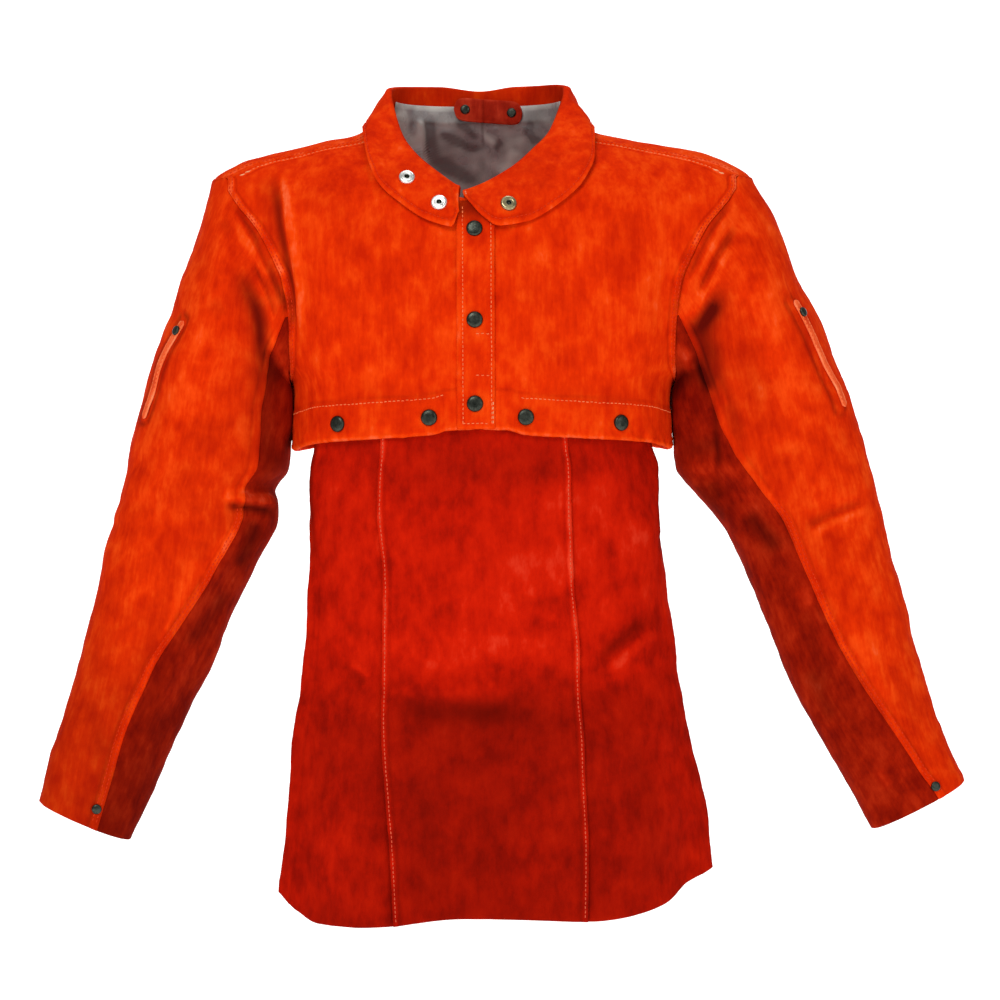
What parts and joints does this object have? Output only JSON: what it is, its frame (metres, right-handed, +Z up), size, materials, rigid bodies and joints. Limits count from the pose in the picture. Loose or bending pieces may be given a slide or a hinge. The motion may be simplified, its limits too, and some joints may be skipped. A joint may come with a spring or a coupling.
{
  "type": "welding cape sleeve",
  "caption": "Suede welding cape with a turned-down collar, long sleeves and a bib snapped behind its front hem, in the form it has when worn.",
  "frame": {"origin": "middle of the base of the neck, where the cape rests on the shoulders", "axes": "+Z up out of the neck, -Y towards the front, +X to the right of someone looking at the front"},
  "size_m": [0.9084, 0.2442, 0.8322],
  "materials": {
    "cape_suede": "red-orange split leather with a short mottled nap",
    "sleeve_suede": "red-orange split leather with a short mottled nap",
    "bib_suede": "deeper red split leather with a short nap",
    "strap_leather": "light orange split leather strip",
    "tab_leather": "dark red leather",
    "grey_satin": "grey satin lining, soft sheen",
    "dark_metal": "dark gunmetal",
    "bright_metal": "bright nickel"
  },
  "bodies": {
    "root": {"cape_front_left": "cape_suede", "cape_front_right": "cape_suede", "cape_back": "cape_suede", "placket": "cape_suede", "collar": "cape_suede", "sleeve_outer_left": "sleeve_suede", "sleeve_outer_right": "sleeve_suede", "sleeve_under_left": "sleeve_suede", "sleeve_under_right": "sleeve_suede", "arm_strap_left": "strap_leather", "arm_strap_right": "strap_leather", "bib_centre": "bib_suede", "bib_side_left": "bib_suede", "bib_side_right": "bib_suede", "lining": "grey_satin", "hanger_tab": "tab_leather", "placket_stud_1": "dark_metal", "placket_stud_2": "dark_metal", "placket_stud_3": "dark_metal", "hem_stud_1": "dark_metal", "hem_stud_2": "dark_metal", "hem_stud_3": "dark_metal", "hem_stud_4": "dark_metal", "arm_stud_left": "dark_metal", "arm_stud_right": "dark_metal", "cuff_stud_left": "dark_metal", "cuff_stud_right": "dark_metal", "tab_stud_1": "dark_metal", "tab_stud_2": "dark_metal", "collar_stud_1": "bright_metal", "collar_stud_2": "bright_metal", "collar_stud_3": "bright_metal"}
  },
  "joints": []
}
